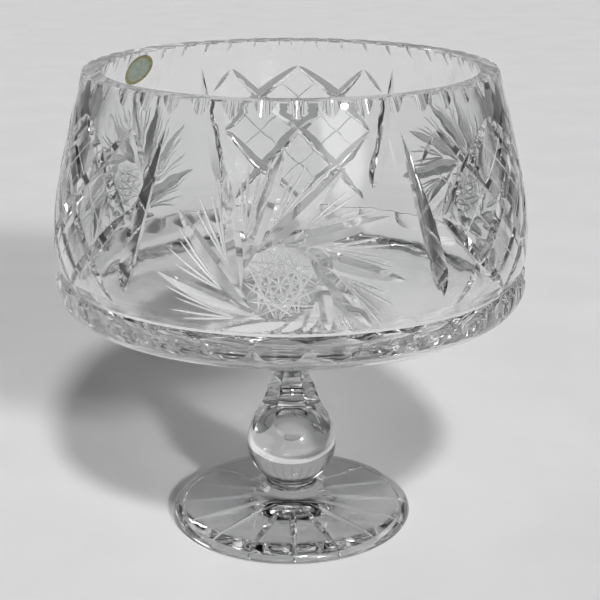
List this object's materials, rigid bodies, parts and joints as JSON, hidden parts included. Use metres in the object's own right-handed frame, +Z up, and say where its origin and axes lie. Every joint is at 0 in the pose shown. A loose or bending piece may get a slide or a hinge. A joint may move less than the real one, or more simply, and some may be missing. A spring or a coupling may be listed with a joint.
{
  "type": "punch bowl",
  "caption": "Footed punch bowl in clear cut crystal: a wide barrel-shaped bowl on a fluted, ball-knopped stem and a round foot.",
  "frame": {"origin": "centre of the foot's underside, on the plane the bowl stands on", "axes": "+Z up along the bowl's axis; the first pinwheel panel faces -Y, turned about 2 degrees towards -X"},
  "size_m": [0.2978, 0.2976, 0.3],
  "materials": {
    "cut_crystal": "clear lead crystal, wheel cut and acid polished",
    "foil": "thin gold and silver foil, satin"
  },
  "bodies": {
    "root": {"foot": "cut_crystal", "lower_merese": "cut_crystal", "stem": "cut_crystal", "upper_merese": "cut_crystal", "bowl": "cut_crystal", "foil_label": "foil"}
  },
  "joints": []
}
